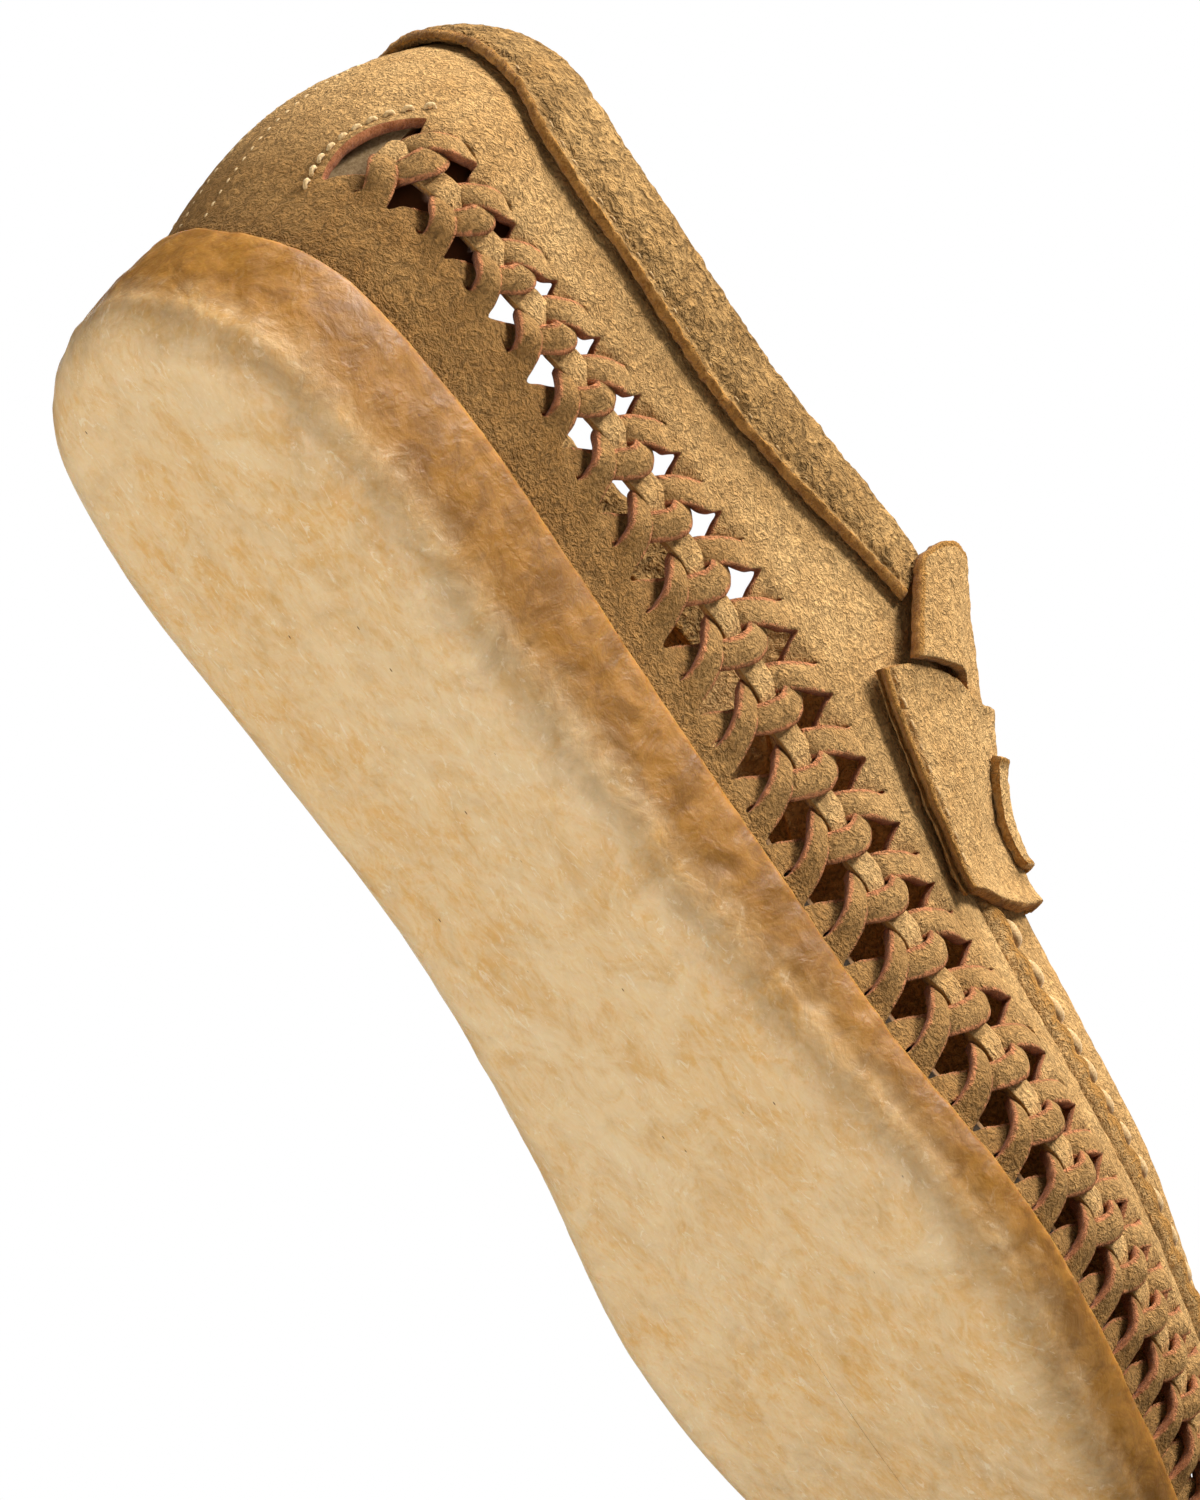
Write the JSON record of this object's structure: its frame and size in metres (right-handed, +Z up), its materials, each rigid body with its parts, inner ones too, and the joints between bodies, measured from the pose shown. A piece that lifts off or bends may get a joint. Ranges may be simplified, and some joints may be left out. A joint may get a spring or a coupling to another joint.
{
  "type": "moccasin",
  "caption": "Right-foot suede penny moccasin with a woven slit-and-lace side band, on a thick natural crepe sole; the tongue hinges.",
  "frame": {"origin": "on the ground, below the middle of the sole's length", "axes": "+X from heel to toe, -Y the lateral (outer) side, +Z up"},
  "size_m": [0.3079, 0.1021, 0.1165],
  "materials": {
    "crepe": "translucent natural crepe, cloudy",
    "suede": "brushed suede",
    "suede_nap": "rough suede, long nap",
    "thread": "waxed twisted thread",
    "lining_leather": "smooth brown",
    "sock_leather": "smooth tan",
    "board": "fibreboard",
    "foam": "open foam"
  },
  "bodies": {
    "shoe": {"crepe_sole": "crepe", "moccasin_wrap": "suede", "woven_lace": "suede", "insole_board": "board", "footbed_foam": "foam", "sock_liner": "sock_leather", "heel_counter": "board", "heel_lining": "lining_leather", "collar_band": "suede_nap", "collar_thread": "thread", "apron": "suede", "apron_thread": "thread", "saddle_strap": "suede", "penny_keeper": "suede", "back_seam_thread_lateral": "thread", "back_seam_thread_medial": "thread", "slit_thread_lateral": "thread", "slit_thread_medial": "thread", "strap_thread_lateral": "thread", "strap_thread_medial": "thread"},
    "tongue": {"tongue": "suede"}
  },
  "joints": [
    {"name": "tongue_flex", "type": "hinge", "parent": "shoe", "child": "tongue", "pos_m": [0.002, -0.002, 0.0985], "axis": [0, 1, 0], "range_deg": [0, 20]}
  ]
}
